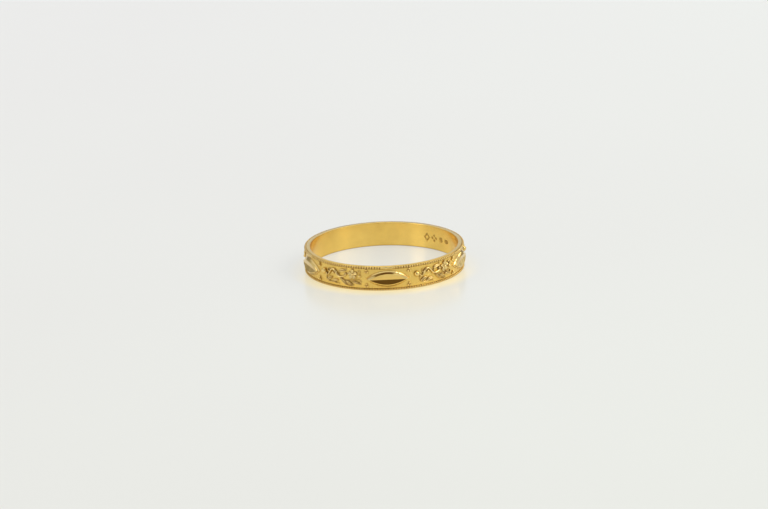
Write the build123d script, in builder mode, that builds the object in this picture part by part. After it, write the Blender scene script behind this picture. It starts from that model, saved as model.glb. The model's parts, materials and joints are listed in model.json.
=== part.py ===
from build123d import *
from math import cos, pi, radians, sin
import os

# A wedding band, in mm: a plain hoop with a beaded wire let into each outer corner, and ornaments
# soldered on the ground between the wires. The axis of the band is Z, the band stands on its lower
# edge at Z = 0, and the first marquise faces -Y. A repeat of the pattern is a marquise and a spray.

# ---- driving dimensions of the band ----
bore_radius = 8.45  # US size 6 1/2
band_width = 2.8  # along the finger
wall = 0.55  # from the bore to the plain ground
bore_edge_chamfer = 0.07
repeats = 5

# ---- beaded edge wires: the round outer side is a half circle that starts at the ground ----
wire_width = 0.28  # along Z
wire_seat_depth = 0.20  # how far the wire is let into the hoop's corner

# ---- marquises ----
marquise_length = 5.0  # over the frame
marquise_margin = 0.17  # plain ground above and below the frame
frame_width = 0.20
frame_relief = 0.17
plate_relief = 0.30
plate_lip = 0.11  # flat left above and below the mouth of the bright cut
cut_floor = 0.07  # metal left under the middle of the bright cut
cut_drop = 0.10  # how far the floor of the cut lies below the middle of the plate

# ---- sprays, drawn for a space of this length and height and scaled to the space there is ----
# a place is (round the ground, along Z), from the middle of the spray
drawn_length = 6.31
drawn_height = 2.24

vine_width = 0.25
vine_relief = 0.24
vine_points = [(-1.84, 0.02), (-0.98, 0.74), (0.06, 0.02), (0.80, 0.30)]

large_bead_radius = 0.33
large_bead_relief = 0.42
large_bead_place = (-2.32, 0.28)

small_bead_relief = 0.24
berry_radius = 0.16
berry_place = (-0.92, 0.34)
blossom_bead_radius = 0.19
blossom_bead_place = (2.42, 0.24)

blossom_radius = 0.62
blossom_relief = 0.22
blossom_place = (1.58, 0.42)
petals = 5
petal_width = 0.42
boss_radius = 0.16

leaf_relief = 0.20
# a leaf is (place, length, width, lean in degrees)
scroll_leaves = [
    ((-1.46, -0.42), 0.96, 0.38, 34),
    ((-0.66, -0.54), 0.94, 0.38, 14),
    ((0.30, 0.72), 1.00, 0.38, 12),
]
spray_blades = [
    ((0.44, -0.50), 1.02, 0.30, -46),
    ((1.18, -0.62), 1.14, 0.30, -26),
    ((2.08, -0.56), 1.12, 0.30, -12),
]

granule_radius = 0.13
granule_relief = 0.18
granule_spacing = 0.155  # from the middle of a group of three to each granule
granule_groups = [(-3.22, 0.82), (-3.22, -0.82), (3.22, 0.82), (3.22, -0.82)]

# ---- sizes that follow ----
ground_radius = bore_radius + wall
seat_radius = ground_radius - wire_seat_depth
ground_height = band_width - 2 * wire_width
marquise_height = ground_height - 2 * marquise_margin
plate_length = marquise_length - 2 * frame_width
plate_height = marquise_height - 2 * frame_width
cut_height = plate_height - 2 * plate_lip
repeat_length = 2 * pi * ground_radius / repeats
free_length = repeat_length - marquise_length
spray_scale = min(free_length / drawn_length, ground_height / drawn_height)
outside = ground_radius + band_width  # a length that passes out of any ornament

os.makedirs("parts", exist_ok=True)


def face_plane(angle, place=(0, 0), lean=0):
    """Plane through the axis: X runs round the band, leaning up by lean, and Z runs out of it."""
    a = radians(angle) + place[0] / ground_radius
    up = radians(lean)
    middle = (0, 0, band_width / 2 + place[1])
    x_dir = (cos(a) * cos(up), sin(a) * cos(up), sin(up))
    return Plane(origin=middle, x_dir=x_dir, z_dir=(sin(a), -cos(a), 0))


def spray_plane(angle, drawn_place, lean=0):
    """The face plane at a place of the drawn spray."""
    return face_plane(angle, scaled(drawn_place), lean)


def scaled(drawn_place):
    return (spray_scale * drawn_place[0], spray_scale * drawn_place[1])


def pointed_oval(length, width):
    """Adds a pointed oval, its tips along X, to the open sketch."""
    with BuildLine() as outline:
        ThreePointArc((-length / 2, 0), (0, width / 2), (length / 2, 0))
        ThreePointArc((length / 2, 0), (0, -width / 2), (-length / 2, 0))
    make_face(outline.edges())


def keep_relief(relief):
    """Trims the open part to what stands on the ground, up to a height of relief."""
    Cylinder(ground_radius + relief, 4 * band_width, mode=Mode.INTERSECT)
    Cylinder(ground_radius, 4 * band_width, mode=Mode.SUBTRACT)


def write(node, piece):
    piece.label = node
    export_step(piece, f"parts/{node}.step")


# ---- the hoop ----
with BuildPart() as band_hoop:
    with BuildSketch(Plane.XZ):
        with BuildLine():
            Polyline(
                (bore_radius, 0),
                (seat_radius, 0),
                (seat_radius, wire_width),
                (ground_radius, wire_width),
                (ground_radius, band_width - wire_width),
                (seat_radius, band_width - wire_width),
                (seat_radius, band_width),
                (bore_radius, band_width),
                close=True,
            )
        make_face()
    revolve(axis=Axis.Z)
    bore_edges = band_hoop.edges().filter_by(GeomType.CIRCLE).sort_by(SortBy.RADIUS)[:2]
    chamfer(bore_edges, bore_edge_chamfer)
write("band_hoop", band_hoop.part)


# ---- the beaded edge wires ----
def beaded_wire(low):
    high = low + wire_width
    outermost = (ground_radius + wire_width / 2, low + wire_width / 2)
    with BuildPart() as wire:
        with BuildSketch(Plane.XZ):
            with BuildLine():
                ThreePointArc((ground_radius, high), outermost, (ground_radius, low))
                Polyline((ground_radius, low), (seat_radius, low), (seat_radius, high), (ground_radius, high))
            make_face()
        revolve(axis=Axis.Z)
    return wire.part


write("lower_beaded_wire", beaded_wire(0))
write("upper_beaded_wire", beaded_wire(band_width - wire_width))


# ---- a marquise: a plate with a straight V-shaped bright cut, inside a thin frame ----
def marquise_plate(angle):
    crest = ground_radius + plate_relief
    floor = ground_radius + cut_floor
    above = 2 * crest - floor  # twice as far from the floor as the crest, so twice as wide there
    face = face_plane(angle)
    with BuildPart() as plate:
        with BuildSketch(face):
            pointed_oval(plate_length, plate_height)
        extrude(amount=outside)
        keep_relief(plate_relief)
        # the floor of the cut is straight, so the cut runs out to a point each way round the band
        with BuildSketch(Plane(origin=face.origin, x_dir=face.z_dir, z_dir=-face.x_dir)):
            with BuildLine():
                Polyline(
                    (floor, -cut_drop),
                    (above, cut_height + cut_drop),
                    (above, cut_drop - cut_height),
                    close=True,
                )
            make_face()
        extrude(amount=marquise_length, both=True, mode=Mode.SUBTRACT)
    return plate.part


def marquise_frame(angle):
    with BuildPart() as frame:
        with BuildSketch(face_plane(angle)):
            pointed_oval(marquise_length, marquise_height)
        extrude(amount=outside)
        with BuildSketch(face_plane(angle)):
            pointed_oval(plate_length, plate_height)
        extrude(amount=outside, mode=Mode.SUBTRACT)
        keep_relief(frame_relief)
    return frame.part


# ---- the pieces of a spray ----
def scroll_vine(angle):
    with BuildPart() as vine:
        with BuildSketch(face_plane(angle)):
            with BuildLine() as path:
                Spline(*[scaled(point) for point in vine_points])
            trace(path.line, spray_scale * vine_width)
        extrude(amount=outside)
        keep_relief(vine_relief)
    return vine.part


def blossom(angle):
    reach = spray_scale * blossom_radius
    with BuildPart() as flower:
        with BuildSketch(spray_plane(angle, blossom_place)):
            with PolarLocations(reach / 2, petals, start_angle=90):
                Ellipse(reach / 2, spray_scale * petal_width / 2)
            Circle(spray_scale * boss_radius)
        extrude(amount=outside)
        keep_relief(blossom_relief)
    return flower.part


def leaves(angle, outlines):
    """A separate solid for each leaf."""
    with BuildPart() as group:
        for place, length, width, lean in outlines:
            with BuildSketch(spray_plane(angle, place, lean)):
                pointed_oval(spray_scale * length, spray_scale * width)
            extrude(amount=outside)
        keep_relief(leaf_relief)
    return group.part


def beads(angle, balls):
    """A separate dome for each ball, given as its place, radius and relief."""
    with BuildPart() as group:
        for place, radius, relief in balls:
            ball_height = ground_radius + spray_scale * (relief - radius)
            with Locations(spray_plane(angle, place).offset(ball_height)):
                Sphere(spray_scale * radius)
        Cylinder(ground_radius, 4 * band_width, mode=Mode.SUBTRACT)
    return group.part


large_beads = [(large_bead_place, large_bead_radius, large_bead_relief)]
small_beads = [
    (berry_place, berry_radius, small_bead_relief),
    (blossom_bead_place, blossom_bead_radius, small_bead_relief),
]
granules = []
for group_place in granule_groups:
    for turn in (0, 2 * pi / 3, 4 * pi / 3):
        across = group_place[0] + granule_spacing * sin(turn)
        up = group_place[1] + granule_spacing * cos(turn)
        granules.append(((across, up), granule_radius, granule_relief))

for number in range(repeats):
    marquise_angle = number * 360 / repeats
    spray_angle = (number + 0.5) * 360 / repeats
    write(f"marquise_plate_{number + 1}", marquise_plate(marquise_angle))
    write(f"marquise_frame_{number + 1}", marquise_frame(marquise_angle))
    write(f"scroll_vine_{number + 1}", scroll_vine(spray_angle))
    write(f"blossom_{number + 1}", blossom(spray_angle))
    write(f"scroll_leaves_{number + 1}", leaves(spray_angle, scroll_leaves))
    write(f"leaf_spray_{number + 1}", leaves(spray_angle, spray_blades))
    write(f"large_bead_{number + 1}", beads(spray_angle, large_beads))
    write(f"small_beads_{number + 1}", beads(spray_angle, small_beads))
    write(f"corner_granules_{number + 1}", beads(spray_angle, granules))
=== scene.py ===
import json
import math

import bmesh
import bpy
import numpy as np
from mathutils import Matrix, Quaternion, Vector


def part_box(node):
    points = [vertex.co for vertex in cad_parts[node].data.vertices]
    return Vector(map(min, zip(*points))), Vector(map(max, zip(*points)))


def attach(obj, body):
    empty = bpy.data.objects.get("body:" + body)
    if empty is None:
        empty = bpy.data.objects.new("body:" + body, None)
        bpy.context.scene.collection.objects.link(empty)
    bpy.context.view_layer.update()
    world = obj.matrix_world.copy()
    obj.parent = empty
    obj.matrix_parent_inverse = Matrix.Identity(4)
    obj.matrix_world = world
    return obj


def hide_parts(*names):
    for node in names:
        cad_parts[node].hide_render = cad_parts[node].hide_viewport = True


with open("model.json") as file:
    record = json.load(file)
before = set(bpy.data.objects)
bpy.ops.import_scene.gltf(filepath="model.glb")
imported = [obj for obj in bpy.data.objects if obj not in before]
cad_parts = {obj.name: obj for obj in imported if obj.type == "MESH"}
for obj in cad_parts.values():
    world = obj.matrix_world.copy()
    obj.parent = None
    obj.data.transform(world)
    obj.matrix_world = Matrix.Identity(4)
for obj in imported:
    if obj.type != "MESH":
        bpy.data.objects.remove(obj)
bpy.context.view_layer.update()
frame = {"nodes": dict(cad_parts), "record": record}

# A wedding band: plain hoop, beaded edges, and ornaments on the ground between them. A point of the
# pattern is (s, z, h): s round the ground from the middle of its repeat, z up from the band's mid
# height, and h above the ground. Lengths are metres; mm turns a value in millimetres into metres.
mm = 0.001

# ---- sizes read from the frame ----
def corners(node):
    """The vertices of a CAD node as an (n, 3) array."""
    return np.array([v.co for v in frame["nodes"][node].data.vertices])


def outer_radius(node):
    return float(np.hypot(*corners(node)[:, :2].T).max())


bore_mount = next(m for m in frame["record"]["mounts"] if m["name"] == "finger_bore")
bore = bore_mount["dims"]["r_mm"] * mm
bore_wall = bore_mount["dims"]["length_mm"] * mm
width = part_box("band_hoop")[1].z
ground = outer_radius("band_hoop")
middle = width / 2
wire_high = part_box("lower_beaded_wire")[1].z
wire_relief = outer_radius("lower_beaded_wire") - ground
repeats = sum(node.startswith("marquise_plate_") for node in frame["nodes"])
repeat_turn = 2 * math.pi / repeats

frame_low, frame_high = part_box("marquise_frame_1")
plate_low, plate_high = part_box("marquise_plate_1")
frame_size = (frame_high.x - frame_low.x, frame_high.z - frame_low.z)
plate_size = (plate_high.x - plate_low.x, plate_high.z - plate_low.z)
frame_relief = outer_radius("marquise_frame_1") - ground
plate_relief = outer_radius("marquise_plate_1") - ground
vine_relief = outer_radius("scroll_vine_1") - ground
petal_relief = outer_radius("blossom_1") - ground
leaf_relief = outer_radius("scroll_leaves_1") - ground

# ---- detail, and sizes that the frame does not give ----
sunk = 0.03 * mm  # how far each ornament's underside goes below the ground
stipple = (-0.010 * mm, 0.006 * mm)  # lowest and highest point of the struck ground

cut_floor = 0.07 * mm  # metal under the middle of the bright cut
cut_drop = 0.10 * mm  # how far the floor of the bright cut lies below the plate's middle
plate_lip = 0.13 * mm  # left beside the mouth of the bright cut
lip_slope = 0.55  # how fast the plate falls from the cut's mouth to its edge
lip_fall = 0.10 * mm  # and how far at most
cut_chatter = 0.0019 * mm  # waves that the cutter left along the bright cut
edge_round = 0.045 * mm

beads_per_repeat = 38
bead_neck = 0.12  # radius between two beads, as a share of a bead's
bead_variation = 0.035  # from one bead to the next, as a share of a bead's size
smoothed_reach = 0.075  # from a marquise's middle to where its beads are less worn, in repeats

marks_azimuth = 131  # degrees round the bore, from the front to the right
marks_reach = 2.3 * mm  # from the middle of the row of marks to just past its ends
mark_depth = 0.08 * mm

petals = 5
vine_width = 0.25 * mm
# paths are (s, z) in millimetres, from the middle of the spray
vine_path = [
    (-1.92, 0.12), (-1.84, -0.02), (-1.66, 0.00), (-1.44, 0.26), (-1.24, 0.60), (-0.98, 0.75),
    (-0.70, 0.66), (-0.40, 0.28), (-0.18, 0.05), (0.08, 0.00), (0.40, 0.06), (0.72, 0.24),
    (0.82, 0.42), (0.70, 0.50), (0.62, 0.40),
]
tendrils = {  # fine stems with a bead at the end, drawn under the leaves
    "scroll_leaves": [
        [(-1.86, -0.02), (-1.98, -0.26), (-1.90, -0.56), (-1.52, -0.78), (-1.02, -0.76), (-0.62, -0.80),
         (-0.16, -0.84)],
        [(-0.16, 0.14), (-0.10, 0.42), (0.02, 0.62), (0.36, 0.86), (0.78, 0.92)],
        [(-1.30, 0.62), (-1.56, 0.74), (-1.72, 0.56), (-1.58, 0.42)],
    ],
    "leaf_spray": [
        [(0.10, -0.06), (0.36, -0.26), (0.80, -0.28), (1.30, -0.30), (1.86, -0.26), (2.30, -0.16),
         (2.60, -0.28), (2.56, -0.44)],
        [(0.80, -0.28), (0.76, -0.56), (0.88, -0.86), (1.26, -0.94), (1.66, -0.88)],
        [(2.40, 0.50), (2.52, 0.72), (2.40, 0.86), (2.22, 0.80)],
    ],
}

# ---- the place where it stands ----
floor_colours = (0.238, 0.235, 0.220), (0.250, 0.254, 0.233)
painted_band_glow = (0.375, 0.302, 0.13)  # painted light: the floor's colour in the warm glow that the band would throw beside it
glow_reach = 2.4 * mm  # how far that painted glow spreads
# parts of the light tent: (azimuth, elevation), inner and outer radius in degrees, and the colour
patches = [
    ((-145, 2), 12, 42, (0.34, 0.33, 0.30)),  # darker room at the back, left and right
    ((146, 5), 12, 34, (0.30, 0.29, 0.26)),
    ((180, 15), 8, 22, (0.63, 0.68, 0.84)),  # cool light low at the back
    ((-24, 38), 10, 20, (0.20, 0.15, 0.08)),  # dark opening in front
    ((0, 36), 17, 28, (0.140, 0.091, 0.040)),
    ((-58, 20), 6, 16, (1.9, 1.85, 1.7)),  # lamps
    ((68, 40), 8, 19, (5.6, 5.5, 5.3)),
    ((127, 26), 5, 13, (3.4, 3.1, 2.6)),
    ((178, 80), 5, 13, (3.4, 3.3, 3.1)),
]
view_azimuth, view_elevation, view_roll = -2.0, 17.0, -1.82  # degrees
view_distance = 0.5
view_shift = (-0.0005, 0.0011)
lens = 205.1  # millimetres, for a sensor of 36

random = np.random.default_rng(20)


# ---- mesh tools ----
class Shells:
    """Gathers closed shells, given in pattern coordinates, into one mesh."""

    def __init__(self, angle):
        self.angle = angle
        self.points = []
        self.lows = []
        self.faces = []
        self.count = 0

    def loft(self, sections, low, closed=False):
        """Joins a row of closed sections, an (n, m, 3) array, and caps its ends unless it is closed.
        low says how deep in a recess each point is: 0 on the heights, 1 on the ground, and more in
        a punch mark. The gold takes painted shade from it, and is rougher and grained there."""
        sections = np.asarray(sections)
        n, m = sections.shape[:2]
        at = np.arange(n * m).reshape(n, m) + self.count
        ahead = np.roll(at, -1, axis=0)
        rows = n if closed else n - 1
        side = np.roll(at, -1, axis=1)
        corner = np.roll(ahead, -1, axis=1)
        quads = np.stack([at, side, corner, ahead], axis=-1)[:rows].reshape(-1, 4)
        self.faces += quads.tolist()
        if not closed:
            self.faces += [at[0][::-1].tolist(), at[-1].tolist()]
        self.points.append(sections.reshape(-1, 3))
        self.lows.append(np.broadcast_to(low, (n, m)).reshape(-1))
        self.count += n * m

    def piece(self, name, finish, slot, *nodes, smooth_below=38):
        """Makes the mesh, which stands for the named CAD nodes and rides on the band."""
        s, z, h = np.concatenate(self.points).T
        turn = self.angle + s / ground
        radius = ground + h
        places = np.stack([radius * np.sin(turn), -radius * np.cos(turn), middle + z], axis=1)
        mesh = bpy.data.meshes.new(name)
        mesh.from_pydata(places.tolist(), [], self.faces)
        low = mesh.attributes.new("low", "FLOAT", "POINT")
        low.data.foreach_set("value", np.concatenate(self.lows).astype(np.float32))
        outwards(mesh)
        mesh.shade_smooth()
        mesh.set_sharp_from_angle(angle=math.radians(smooth_below))
        mesh.materials.append(finish)
        made = bpy.data.objects.new(name, mesh)
        bpy.context.scene.collection.objects.link(made)
        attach(made, "root")
        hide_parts(*nodes)


def outwards(mesh):
    """Turns every face of a mesh of closed shells outwards."""
    shape = bmesh.new()
    shape.from_mesh(mesh)
    bmesh.ops.recalc_face_normals(shape, faces=shape.faces)
    shape.to_mesh(mesh)
    shape.free()


def spaced(low, high, count):
    return np.linspace(low, high, count)


def eased(x):
    """Smooth step from 0 to 1."""
    x = np.clip(x, 0, 1)
    return x * x * (3 - 2 * x)


def wander(count, waves, closed=False):
    """A smooth random row of numbers, about -1 to 1. Its longest wave is as long as the row, and its
    shortest is count / waves points."""
    t = spaced(0, 2 * math.pi, count + 1)[:-1]
    row = np.zeros(count)
    for wave in range(1, waves + 1):
        turn = wave if closed else wave + random.uniform(-0.4, 0.4)
        row += random.normal() * np.cos(turn * t + random.uniform(0, 6.28))
    return row / math.sqrt(waves)


def solids(node, angle):
    """The separate solids of a CAD node, each as its corners (s, z, h) and its middle (s, z)."""
    shape = bmesh.new()
    shape.from_mesh(frame["nodes"][node].data)
    bmesh.ops.remove_doubles(shape, verts=shape.verts, dist=1e-7)
    waiting, found = set(shape.verts), []
    while waiting:
        island, edge = set(), [min(waiting, key=lambda v: v.index)]
        while edge:
            vertex = edge.pop()
            if vertex not in island:
                island.add(vertex)
                edge += [e.other_vert(vertex) for e in vertex.link_edges]
        waiting -= island
        faces = {f for v in island for f in v.link_faces}
        area = sum(f.calc_area() for f in faces)
        centre = sum((f.calc_center_median() * f.calc_area() for f in faces), Vector()) / area
        found.append((on_band([v.co for v in island], angle), on_band([centre], angle)[0, :2]))
    shape.free()
    return sorted(found, key=lambda solid: tuple(solid[1]))


def on_band(places, angle):
    """Turns places (x, y, z) into pattern coordinates about an angle."""
    x, y, z = np.array(places).T
    turn = (np.arctan2(x, -y) - angle + math.pi) % (2 * math.pi) - math.pi
    return np.stack([turn * ground, z - middle, np.hypot(x, y) - ground], axis=1)


# ---- materials ----
# painted shade: the dark colour that recesses and corners are mixed towards
painted_shade_colour = (0.36, 0.20, 0.035)
corner_reach = 0.30 * mm  # how far the painted shade spreads from a corner


def material(name):
    made = bpy.data.materials.new(name)
    made.use_nodes = True
    made.node_tree.nodes.clear()
    return made, made.node_tree.nodes, made.node_tree.links


def linked(nodes, links, kind, inputs=(), **settings):
    """Adds a node, sets its properties, and sets or links its inputs by name or number."""
    node = nodes.new(kind)
    for key, value in settings.items():
        setattr(node, key, value)
    for key, value in dict(inputs).items():
        if isinstance(value, bpy.types.NodeSocket):
            links.new(value, node.inputs[key])
        else:
            node.inputs[key].default_value = value
    return node


def gold(name, colour, recess_shade, roughness, worn, scratch, grain, corner_shade, brushed=0.0):
    """Gold with painted shade in its recesses, which makes it deeper in colour there, and rougher
    there: deepens and worn say how much.
    scratch and grain are the heights of its fine scratches and its struck grain, soot is how much
    painted shade darkens the closest corners, and brushed is how strong the marks of turning are."""
    made, nodes, links = material(name)
    add = lambda kind, inputs=(), **settings: linked(nodes, links, kind, inputs, **settings)
    place = add("ShaderNodeNewGeometry").outputs["Position"]
    low = add("ShaderNodeAttribute", attribute_name="low").outputs["Fac"]
    tone = add("ShaderNodeTexNoise", {"Vector": place, "Scale": 900.0, "Detail": 4.0}).outputs[0]
    rubbed = add("ShaderNodeTexNoise", {"Vector": place, "Scale": 16000.0, "Detail": 3.0}).outputs[0]
    dents = add("ShaderNodeTexVoronoi", {"Vector": place, "Scale": 11000.0}).outputs["Distance"]
    along = add("ShaderNodeVectorMath", {0: place, 1: (1.0, 1.0, 14.0)}, operation="MULTIPLY")
    hairs = add("ShaderNodeTexNoise", {
        "Vector": along.outputs[0], "Scale": 5200.0, "Detail": 5.0, "Roughness": 0.7,
    }).outputs[0]
    # painted shade: the colour darkens in corners that ambient occlusion finds within corner_reach
    corner = add("ShaderNodeAmbientOcclusion", {"Distance": corner_reach}, samples=6).outputs["AO"]

    corner_shading = add("ShaderNodeMapRange", {
        "Value": corner, "From Min": 0.80, "From Max": 0.30, "To Min": 0.0, "To Max": corner_shade,
    }).outputs[0]
    # painted shade in recesses, as deep as the low attribute says
    recess_shading = add("ShaderNodeMath", {0: low, 1: recess_shade}, operation="MULTIPLY").outputs[0]
    tone_part = add("ShaderNodeMath", {0: tone, 1: 0.24, 2: -0.06}, operation="MULTIPLY_ADD").outputs[0]
    share = add("ShaderNodeMath", {0: recess_shading, 1: tone_part}, operation="ADD").outputs[0]
    full = add("ShaderNodeMath", {0: share, 1: corner_shading}, operation="ADD", use_clamp=True).outputs[0]
    paint = add("ShaderNodeMix", {
        "Factor": full, "A": (*colour, 1.0), "B": (*painted_shade_colour, 1.0),
    }, data_type="RGBA")
    dull = add("ShaderNodeMapRange", {
        "Value": low, "To Min": roughness, "To Max": roughness + worn,
    }).outputs[0]
    patch = add("ShaderNodeMath", {0: tone, 1: 0.10, 2: -0.05}, operation="MULTIPLY_ADD").outputs[0]
    rough = add("ShaderNodeMath", {0: dull, 1: patch}, operation="ADD").outputs[0]

    struck = add("ShaderNodeMath", {0: dents, 1: rubbed}, operation="ADD").outputs[0]
    only_low = add("ShaderNodeMath", {0: struck, 1: low}, operation="MULTIPLY").outputs[0]
    fine = add("ShaderNodeBump", {"Strength": 1.0, "Distance": scratch, "Height": hairs})
    grained = add("ShaderNodeBump", {
        "Strength": 1.0, "Distance": grain, "Height": only_low, "Normal": fine.outputs[0],
    })
    round_it = add("ShaderNodeTangent", direction_type="RADIAL", axis="Z").outputs[0]
    shader = add("ShaderNodeBsdfPrincipled", {
        "Base Color": paint.outputs["Result"], "Metallic": 1.0, "Roughness": rough,
        "Normal": grained.outputs[0], "Anisotropic": brushed, "Anisotropic Rotation": 0.25,
        "Tangent": round_it,
    })
    add("ShaderNodeOutputMaterial", {"Surface": shader.outputs[0]})
    return made


polished_colour = (0.88, 0.64, 0.225)
hoop_gold = gold(
    "hoop_gold", (0.94, 0.65, 0.172), recess_shade=0.13, roughness=0.21, worn=0.07,
    scratch=0.0010 * mm, grain=0.010 * mm, corner_shade=0.85, brushed=0.7)
struck_gold = gold(
    "struck_gold", (0.92, 0.70, 0.29), recess_shade=0.30, roughness=0.09, worn=0.10,
    scratch=0.0004 * mm, grain=0.003 * mm, corner_shade=0.85)
beaded_gold = gold(
    "beaded_gold", polished_colour, recess_shade=1.5, roughness=0.07, worn=0.10,
    scratch=0.0003 * mm, grain=0.0, corner_shade=0.15)
bright_gold = gold(
    "bright_gold", polished_colour, recess_shade=0.30, roughness=0.05, worn=0.06,
    scratch=0.0003 * mm, grain=0.0, corner_shade=0.25)


# ---- the hoop ----
def punch_marks(s, z):
    """Where the plain punch marks in the bore are, from 0 outside to 1 inside, with s from the middle
    of their row: a lozenge, a group of four dots, a round dot and an oval."""
    line = 0.07 * mm  # half the width of the lozenge's line
    flank = 0.07 * mm  # width of the slope at a mark's edge
    far = 0.40 * mm

    def dots(centre, places):
        reaches = [np.hypot(s - centre - x * far, z - y * far) for x, y in places]
        return np.minimum.reduce(reaches) - 0.15 * mm

    lozenge = np.abs(np.abs(s + 1.60 * mm) * 1.3 + np.abs(z) - far) / 1.6 - line
    four = dots(-0.55 * mm, [(0, 0.72), (0, -0.72), (0.66, 0), (-0.66, 0)])
    round_dot = np.hypot(s - 0.56 * mm, z) - 0.75 * far
    oval = np.hypot((s - 1.60 * mm) / 1.6, z) - 0.60 * far
    nearest = np.minimum.reduce([lozenge, four, round_dot, oval])
    return eased(0.5 - nearest / flank)


def hoop():
    """The plain hoop, its section carried round the axis in steps that are finer at the marks."""
    marks_at = math.radians(marks_azimuth)
    marks_half = marks_reach / bore
    coarse = np.arange(0, 2 * math.pi, math.radians(0.5))
    coarse = coarse[np.abs(coarse - marks_at) > marks_half]
    fine = spaced(marks_at - marks_half, marks_at + marks_half, 170)
    turns = np.sort(np.concatenate([coarse, fine]))

    # the section, from the foot of the bore: (radius, z, 1 in the bore and -1 on the ground)
    corner = (width - bore_wall) / 2
    rim = ground - 0.86 * wire_high / 2  # where the flat edge ends, under the beads
    bore_z = spaced(-bore_wall / 2, bore_wall / 2, 64)
    section = [(bore, z, 1) for z in bore_z]
    for side in (1, -1):
        steps = [
            (bore + 0.25 * corner, bore_wall / 2 + 0.62 * corner),
            (bore + 0.9 * corner, middle - 0.04 * corner),
            (bore + 1.3 * corner, middle),
            (rim - 0.02 * mm, middle),
            (rim, middle - 0.015 * mm),
            (rim + 0.02 * mm, middle - 0.10 * mm),
            (ground - 0.06 * mm, middle - wire_high * 0.80),
            (ground - 0.008 * mm, middle - wire_high * 0.99),
            (ground, middle - wire_high * 1.05),
        ]
        flank = [(r, side * z, 0) for r, z in steps]
        section += flank if side == 1 else flank[::-1]
        if side == 1:
            reach = middle - wire_high * 1.1
            section += [(ground, z, -1) for z in spaced(reach, -reach, 30)]
    radii, heights, kind = np.array(section).T
    is_bore, is_ground = np.maximum(kind, 0), np.maximum(-kind, 0)
    shells = Shells(0.0)
    s = (turns * ground)[:, None] + 0 * heights[None, :]
    z = 0 * s + heights[None, :]
    h = 0 * s + (radii - ground)[None, :]
    round_bore = (turns[:, None] - marks_at) * bore
    marks = is_bore[None, :] * punch_marks(-round_bore, z)
    h += mark_depth * marks
    h += is_ground[None, :] * random.uniform(*stipple, h.shape)
    # painted shade: low darkens the ground, and the punch marks more
    shells.loft(np.stack([s, z, h], axis=-1), is_ground[None, :] + 3.5 * marks, closed=True)
    shells.piece("band_hoop_visual", hoop_gold, "hoop_gold", "band_hoop")


def beaded_edge(name, node, z_middle, rubbed):
    """A row of beads, each flattened a little where it has worn. rubbed, from 0 to 1, says how far the
    beads beside the middle of each marquise are worn into one another."""
    beads = beads_per_repeat * repeats
    steps = 16
    n = beads * steps
    t = np.arange(n) / steps
    across = 2 * (t % 1) - 1
    bead_size = 1 + bead_variation * random.normal(size=beads)
    size = np.repeat(bead_size, steps)
    worn = eased(0.5 + 0.5 * wander(n, 9, closed=True))
    from_marquise = (t / beads * repeats + 0.5) % 1 - 0.5
    smoothed = rubbed * np.exp(-((from_marquise / smoothed_reach) ** 4))
    neck = bead_neck + 0.20 * worn + 0.55 * smoothed
    swell = np.sqrt(1 - (1 - neck**2) * across**2)
    radius = wire_relief * size * swell
    around = spaced(0, 2 * math.pi, 15)[:-1]
    flat = wire_relief * (0.98 - 0.10 * worn - 0.10 * smoothed)
    h = np.minimum(radius[:, None] * np.cos(around)[None, :], flat[:, None])
    z = z_middle + np.clip(radius[:, None] * np.sin(around)[None, :], -flat[:, None], flat[:, None])
    s = (t / beads * 2 * math.pi * ground)[:, None] + 0 * z
    # painted shade in the necks between beads, less where they are worn into one another
    low = ((1 - smoothed) * np.abs(across) ** 2)[:, None]
    shells = Shells(0.0)
    shells.loft(np.stack([s, z, h], axis=-1), low, closed=True)
    shells.piece(name, beaded_gold, "ornament_gold", node, smooth_below=50)


# ---- marquises ----
def oval_half(s, length, height):
    """Half height at s of a pointed oval made of two arcs."""
    bow = (length**2 + height**2) / (4 * height)  # radius of the arcs
    return np.sqrt(np.maximum(bow**2 - s**2, 0)) - (bow - height / 2)


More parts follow.
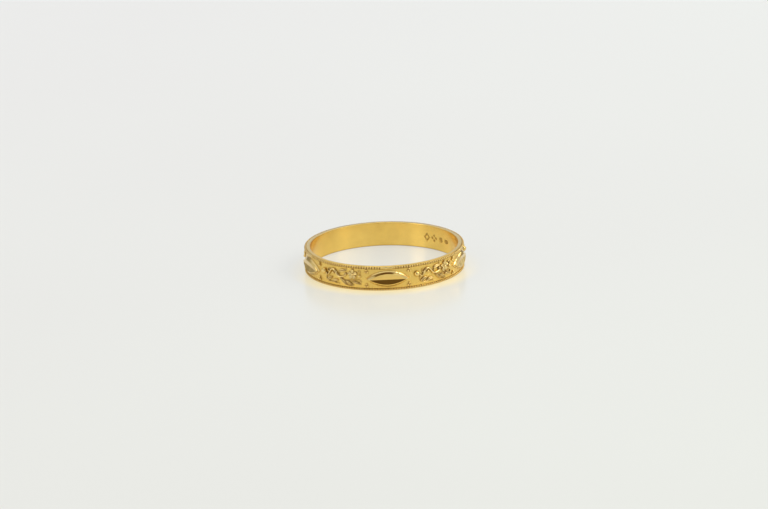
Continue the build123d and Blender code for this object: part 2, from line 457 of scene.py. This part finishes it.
def marquise_plate(angle):
    """A pointed oval with a V-shaped cut, whose floor is a straight line. The top falls outwards
    from the mouth of the cut."""
    crest, floor = ground + plate_relief, ground + cut_floor
    rise = plate_relief - cut_floor
    tip_half = 0.014 * mm
    inset = 0.012 * mm  # from the outline to the cut, where they come nearest
    s = plate_size[0] / 2 * np.sin(spaced(-math.pi / 2, math.pi / 2, 241))
    outline = np.maximum(oval_half(s, *plate_size), tip_half)
    lean = np.cos(s / ground)
    open_share = np.clip((crest * lean - floor) / rise, 0.004, 1)
    chatter = cut_chatter * (wander(len(s), 60) + 0.5 * wander(len(s), 20))
    share = spaced(1, 0, 10)
    # the rounded outer edge, from its foot: shares of the rounding inwards and downwards, and the
    # share of the fall
    edge = [(0, 50, 1), (0, 0.8, 1), (0.3, 0.15, 0.96), (1, 0, 0.86)]
    inwards, downwards, fallen = np.array(edge).T
    rows = []
    for side in (1, -1):
        full = plate_size[1] / 2 - plate_lip + side * cut_drop  # from the floor line to the mouth
        floor_z = np.clip(-cut_drop, inset - outline, outline - inset)
        mouth = np.minimum(open_share * full, side * (side * outline - floor_z) - inset)
        mouth = np.maximum(mouth, 0.001 * mm)
        z = floor_z[:, None] + side * mouth[:, None] * share[None, :]
        radius = (floor + mouth[:, None] * share[None, :] / full * rise) / lean[:, None]
        h = np.minimum(radius + chatter[:, None], crest) - ground
        lip = np.abs(side * outline - z[:, 0])
        round_off = np.minimum(edge_round, 0.45 * lip)
        wall_z = side * (outline[:, None] - round_off[:, None] * inwards)
        fall = (np.minimum(lip_slope * lip, lip_fall) * (1 - np.abs(s / s[-1]) ** 5))[:, None]
        wall_h = np.maximum(plate_relief - fall * fallen - edge_round * downwards, -sunk)
        low = np.concatenate([[1.0, 0.2, 0, 0], 0 * share])
        rows.append((np.concatenate([wall_z, z], 1), np.concatenate([wall_h, h], 1), low))
    (z_up, h_up, low_up), (z_down, h_down, low_down) = rows
    z = np.concatenate([z_up, z_down[:, -2::-1]], axis=1)
    h = np.concatenate([h_up, h_down[:, -2::-1]], axis=1)
    low = np.concatenate([low_up, low_down[-2::-1]])
    shells = Shells(angle)
    shells.loft(np.stack([s[:, None] + 0 * z, z, h], axis=-1), low)
    return shells


def marquise_frame(angle):
    """A wire along the pointed oval: a long outer slope, and a rounded crest next to the plate."""
    t = spaced(0, 2 * math.pi, 241)[:-1]
    side = np.where(t < math.pi, 1, -1)
    run = -np.cos(t % math.pi) * side

    def outline(length, height):
        s = run * length / 2
        return np.stack([s, side * np.maximum(oval_half(s, length, height), 0)], axis=1)

    outer, inner = outline(*frame_size), outline(*plate_size)
    # across the wire, from its outer edge: (share of the width, share of the relief)
    profile = [
        (0, 0.10), (0.06, 0.24), (0.30, 0.50), (0.55, 0.78), (0.68, 0.93), (0.78, 1.0), (0.88, 0.95),
        (0.95, 0.78), (1, 0.45),
    ]
    shares, rises = np.array([(0, -1)] + profile + [(1, -1)]).T
    heights = np.where(rises < 0, -sunk, rises * frame_relief)
    flat = outer[:, None] * (1 - shares[None, :, None]) + inner[:, None] * shares[None, :, None]
    h = 0 * flat[..., :1] + heights[None, :, None]
    unevenness = 0.006 * mm * wander(len(t), 40, closed=True)
    h += np.where(heights > 0, 1, 0)[None, :, None] * unevenness[:, None, None]
    shells = Shells(angle)
    shells.loft(np.concatenate([flat, h], axis=-1), 0.7 * (1 - np.clip(rises, 0, 1)), closed=True)
    return shells


# ---- sprays ----
def smooth_path(points, count):
    """Evenly spaced points along a smooth curve through the given ones."""
    points = np.array(points)
    rows = []
    for i in range(len(points) - 1):
        p0, p1 = points[max(i - 1, 0)], points[i]
        p2, p3 = points[i + 1], points[min(i + 2, len(points) - 1)]
        for t in spaced(0, 1, 21)[:-1]:
            rows.append(0.5 * (2 * p1 + (p2 - p0) * t + (2 * p0 - 5 * p1 + 4 * p2 - p3) * t**2
                               + (3 * p1 - p0 - 3 * p2 + p3) * t**3))
    rows = np.array(rows + [points[-1]])
    run = np.concatenate([[0], np.cumsum(np.hypot(*np.diff(rows, axis=0).T))])
    at = spaced(0, run[-1], count)
    return np.stack([np.interp(at, run, rows[:, k]) for k in (0, 1)], axis=1)


def strip(shells, path, half, height, profile, steps=9):
    """A raised strip along a path. profile(u, v) gives the height's share at u along and v across."""
    ahead = np.gradient(path, axis=0)
    ahead /= np.hypot(*ahead.T)[:, None]
    left = np.stack([-ahead[:, 1], ahead[:, 0]], axis=1)
    v = np.sin(spaced(-math.pi / 2, math.pi / 2, steps))
    u = spaced(0, 1, len(path))
    across = v[None, :] * half[:, None]
    top = path[:, None] + left[:, None] * across[..., None]
    h = height[:, None] * profile(u[:, None], v[None, :])
    rounded = np.concatenate([top, h[..., None]], axis=-1)
    under = rounded[:, [-1, 0]].copy()
    under[..., 2] = -sunk
    low = 1 - np.clip(h / height.max(), 0, 1)
    low = np.concatenate([low, np.ones_like(low[:, :2])], axis=1)
    shells.loft(np.concatenate([rounded, under], axis=1), low)


def dome(shells, place, radius, relief):
    """A polished bead that stands relief above the ground."""
    down = spaced(0.03, math.pi * 0.62, 12)
    around = spaced(0, 2 * math.pi, 29)[:-1]
    rings, lows = [], []
    for a in down[::-1]:
        h = max(relief - radius * (1 - math.cos(a)), -sunk)
        ring_radius = radius * math.sin(min(a, math.pi / 2)) if h > -sunk else radius * 0.97
        rings.append([(place[0] + ring_radius * math.cos(t), place[1] + ring_radius * math.sin(t), h)
                      for t in around])
        lows.append(eased((a - 1.0) / 0.6))
    shells.loft(rings, np.array(lows)[:, None])


def scroll_vine(angle):
    """A raised scroll that is thinner at both ends, where it has a small bead."""
    shells = Shells(angle)
    path = smooth_path(vine_path, 150) * mm
    u = spaced(0, 1, len(path))
    swell = 0.45 + 0.55 * np.sin(math.pi * np.clip(u, 0.02, 0.98)) ** 0.7
    half = vine_width / 2 * swell * 0.95
    height = vine_relief * (0.62 + 0.38 * swell)
    strip(shells, path, half, height, lambda u, v: np.sqrt(np.maximum(1 - 0.86 * v**2, 0)))
    for end in (path[0], path[-1]):
        dome(shells, end, 0.09 * mm, vine_relief * 0.95)
    return shells


def tendril(shells, points):
    """A fine stem with a bead at its end."""
    path = smooth_path(points, 70)
    u = spaced(0, 1, len(path))
    half = 0.045 * mm * (0.5 + 0.5 * np.sin(math.pi * np.clip(u * 1.1, 0.05, 0.9)))
    height = 0.13 * mm * (0.75 + 0.25 * np.sin(math.pi * u))
    strip(shells, path, half, height, lambda u, v: np.sqrt(np.maximum(1 - 0.9 * v**2, 0)), steps=7)
    dome(shells, path[-1], 0.075 * mm, 0.14 * mm)


def leaf(shells, solid):
    """A veined leaf on the long axis of a CAD leaf."""
    outline, centre = solid
    flat = outline[:, :2]
    far = flat[np.argmax(np.hypot(*(flat - centre).T))]
    reach = float(np.hypot(*(far - centre)))
    along = (far - centre) / reach
    if along[0] < 0:
        along = -along
    left = np.array([-along[1], along[0]])
    broad = float(np.abs((flat - centre) @ left).max())
    u = spaced(0, 1, 42)
    bend = 0.10 * reach * np.sin(math.pi * u)
    path = centre + along * ((2 * u - 1) * reach)[:, None] + left * (bend - 0.06 * reach)[:, None]
    half = np.maximum(broad * 1.08 * np.sin(math.pi * u**0.85) ** 0.75, 0.012 * mm)
    height = leaf_relief * (0.55 + 0.45 * np.sin(math.pi * u) ** 0.6)

    def profile(u, v):
        cupped = (1 - np.abs(v) ** 5) * (0.86 + 0.14 * np.abs(v))
        vein = 0.42 * np.exp(-((v / 0.16) ** 2)) * eased(4 * (1 - u))
        ribs = 0.10 * (1 - np.abs(v)) * np.cos(2 * math.pi * (7 * u - 1.3 * np.abs(v)))
        return np.maximum(cupped - vein + ribs, 0.02)

    strip(shells, path, half, height, profile, steps=17)


def blossom(angle, node):
    """Cupped and creased petals round a bead, as wide as the CAD blossom."""
    shells = Shells(angle)
    outline, centre = solids(node, angle)[0]
    reach = float(np.hypot(*(outline[:, :2] - centre).T).max())
    for k in range(petals):
        turn = math.pi / 2 + 2 * math.pi * k / petals
        along = np.array([math.cos(turn), math.sin(turn)])
        u = spaced(0, 1, 26)
        path = centre + along * ((0.12 + 0.86 * u) * reach)[:, None]
        half = np.maximum(0.36 * reach * np.sin(math.pi * (0.06 + 0.90 * u**1.35)) ** 0.6, 0.02 * mm)
        height = petal_relief * (0.62 + 0.38 * u**0.6) * (1 - 0.35 * eased(8 * u - 7))

        def profile(u, v):
            cup = 0.66 + 0.34 * np.abs(v) ** 2.2
            edge = 1 - np.abs(v) ** 8
            crease = 0.26 * np.exp(-((v / 0.2) ** 2))
            ribs = 0.05 * np.cos(9 * math.pi * v) * u
            return np.maximum(cup * edge - crease * (0.4 + 0.6 * u) + ribs, 0.02)

        strip(shells, path, half, height, profile, steps=17)
    dome(shells, centre, 0.135 * mm, petal_relief * 1.12)
    return shells


def beads(angle, node):
    """A dome in the place of each solid of a CAD node."""
    shells = Shells(angle)
    for outline, centre in solids(node, angle):
        radius = float(np.abs(outline[:, 1] - centre[1]).max())
        dome(shells, centre, radius, float(outline[:, 2].max()))
    return shells


# ---- the whole band ----
hoop()
beaded_edge("lower_beads", "lower_beaded_wire", wire_high / 2 - middle, rubbed=0.0)
beaded_edge("upper_beads", "upper_beaded_wire", middle - wire_high / 2, rubbed=1.0)
for number in range(1, repeats + 1):
    at_marquise = (number - 1) * repeat_turn
    at_spray = (number - 0.5) * repeat_turn
    plate_node, frame_node = f"marquise_plate_{number}", f"marquise_frame_{number}"
    marquise_plate(at_marquise).piece(
        f"bright_cut_{number}", bright_gold, "polished_gold", plate_node, smooth_below=14)
    marquise_frame(at_marquise).piece(
        f"frame_wire_{number}", struck_gold, "ornament_gold", frame_node)
    scroll_vine(at_spray).piece(
        f"scroll_{number}", struck_gold, "ornament_gold", f"scroll_vine_{number}", smooth_below=60)
    blossom(at_spray, f"blossom_{number}").piece(
        f"flower_{number}", struck_gold, "ornament_gold", f"blossom_{number}", smooth_below=60)
    for kind in ("scroll_leaves", "leaf_spray"):
        node = f"{kind}_{number}"
        shells = Shells(at_spray)
        for stem in tendrils[kind]:
            tendril(shells, np.array(stem) * mm)
        for solid in solids(node, at_spray):
            leaf(shells, solid)
        shells.piece(
            f"{kind}_veined_{number}", struck_gold, "ornament_gold", node, smooth_below=60)
    for kind in ("large_bead", "small_beads", "corner_granules"):
        node = f"{kind}_{number}"
        beads(at_spray, node).piece(f"{kind}_domed_{number}", bright_gold, "polished_gold", node)


# ---- floor, light and camera ----
def floor():
    """A pale, smooth table. Part of its light is its own, so that shadows on it stay faint, and a
    painted warm glow is added beside the band.
    """
    made, nodes, links = material("pale_floor")
    add = lambda kind, inputs=(), **settings: linked(nodes, links, kind, inputs, **settings)
    place = add("ShaderNodeNewGeometry").outputs["Position"]
    cloud = add("ShaderNodeTexNoise", {"Vector": place, "Scale": 9.0, "Detail": 2.0}).outputs[0]
    across = add("ShaderNodeVectorMath", {0: place, 1: (5.0, -2.0, 0.0)}, operation="DOT_PRODUCT")
    fade = add("ShaderNodeMath", {0: across.outputs["Value"], 1: cloud}, operation="ADD").outputs[0]
    paint = add("ShaderNodeMix", {
        "Factor": fade, "A": (*floor_colours[0], 1.0), "B": (*floor_colours[1], 1.0),
    }, data_type="RGBA").outputs["Result"]
    # painted light: a warm glow beside the band, put into the floor's own light
    near = painted_glow_share(add, place)
    lit = add("ShaderNodeMix", {
        "Factor": near, "A": paint, "B": (*painted_band_glow, 1.0),
    }, data_type="RGBA").outputs["Result"]
    shader = add("ShaderNodeBsdfPrincipled", {
        "Base Color": paint, "Roughness": 0.22, "Specular IOR Level": 0.30,
        "Emission Color": lit, "Emission Strength": 2.10,
    })
    add("ShaderNodeOutputMaterial", {"Surface": shader.outputs[0]})
    mesh = bpy.data.meshes.new("pale_floor")
    reach = 3.0
    mesh.from_pydata([(-reach, -reach, 0), (reach, -reach, 0), (reach, reach, 0), (-reach, reach, 0)],
                     [], [(0, 1, 2, 3)])
    mesh.materials.append(made)
    plane = bpy.data.objects.new("pale_floor", mesh)
    bpy.context.scene.collection.objects.link(plane)


def painted_glow_share(add, place):
    """How much of the painted glow, which stands for the band's warm light, a place on the floor gets:
    most just outside the band and in front of it, and none inside the bore."""
    flat = add("ShaderNodeVectorMath", {0: place, 1: (1.0, 1.0, 0.0)}, operation="MULTIPLY")
    away = add("ShaderNodeVectorMath", {0: flat.outputs[0]}, operation="LENGTH").outputs["Value"]
    forward = add("ShaderNodeVectorMath", {0: place, 1: (0.0, -1.0, 0.0)}, operation="DOT_PRODUCT")
    in_front = add("ShaderNodeMapRange", {
        "Value": forward.outputs["Value"], "From Min": 0.0, "From Max": 0.9 * bore,
        "To Min": 0.15, "To Max": 0.72,
    }, interpolation_type="SMOOTHSTEP").outputs["Result"]
    outside = add("ShaderNodeMapRange", {
        "Value": away, "From Min": ground + glow_reach, "From Max": ground, "To Max": in_front,
    }, interpolation_type="SMOOTHSTEP").outputs["Result"]
    return add("ShaderNodeMapRange", {
        "Value": away, "From Min": bore, "From Max": ground, "To Max": outside,
    }).outputs["Result"]


def direction(azimuth, elevation):
    """From the band towards an azimuth, 0 at the front and 90 at the right, and an elevation."""
    a, e = math.radians(azimuth), math.radians(elevation)
    return Vector((math.sin(a) * math.cos(e), -math.cos(a) * math.cos(e), math.sin(e)))


def surroundings():
    """A light tent, paler overhead, with the patches laid over it in turn."""
    world = bpy.data.worlds.new("light_tent")
    bpy.context.scene.world = world
    world.use_nodes = True
    nodes, links = world.node_tree.nodes, world.node_tree.links
    nodes.clear()
    add = lambda kind, inputs=(), **settings: linked(nodes, links, kind, inputs, **settings)
    towards = add("ShaderNodeTexCoord").outputs["Generated"]
    height = add("ShaderNodeSeparateXYZ", {0: towards}).outputs["Z"]
    rising = add("ShaderNodeMapRange", {
        "Value": height, "From Min": 0.15, "From Max": 0.80,
    }, interpolation_type="SMOOTHSTEP").outputs["Result"]
    light = add("ShaderNodeMix", {
        "Factor": rising, "A": (0.68, 0.71, 0.82, 1.0), "B": (0.86, 0.86, 0.84, 1.0),
    }, data_type="RGBA").outputs["Result"]
    for centre, inner, outer, inside in patches:
        nearness = add("ShaderNodeVectorMath", {
            0: towards, 1: tuple(direction(*centre)),
        }, operation="DOT_PRODUCT")
        mask = add("ShaderNodeMapRange", {
            "Value": nearness.outputs["Value"], "From Min": math.cos(math.radians(outer)),
            "From Max": math.cos(math.radians(inner)),
        }, interpolation_type="SMOOTHSTEP")
        light = add("ShaderNodeMix", {
            "Factor": mask.outputs["Result"], "A": light, "B": (*inside, 1.0),
        }, data_type="RGBA").outputs["Result"]
    background = add("ShaderNodeBackground", {"Color": light, "Strength": 1.0})
    add("ShaderNodeOutputWorld", {"Surface": background.outputs[0]})


def camera():
    data = bpy.data.cameras.new("camera")
    data.sensor_width = 36.0
    data.lens = lens
    made = bpy.data.objects.new("camera", data)
    bpy.context.scene.collection.objects.link(made)
    back = direction(view_azimuth, view_elevation)
    made.location = Vector((0, 0, middle)) + view_distance * back
    made.rotation_mode = "QUATERNION"
    roll = Quaternion((0, 0, 1), math.radians(view_roll))
    made.rotation_quaternion = (-back).to_track_quat("-Z", "Y") @ roll
    data.shift_x, data.shift_y = view_shift
    data.clip_start, data.clip_end = 0.01, 20.0
    bpy.context.scene.camera = made


floor()
surroundings()
camera()
bpy.context.scene.view_settings.view_transform = "Standard"
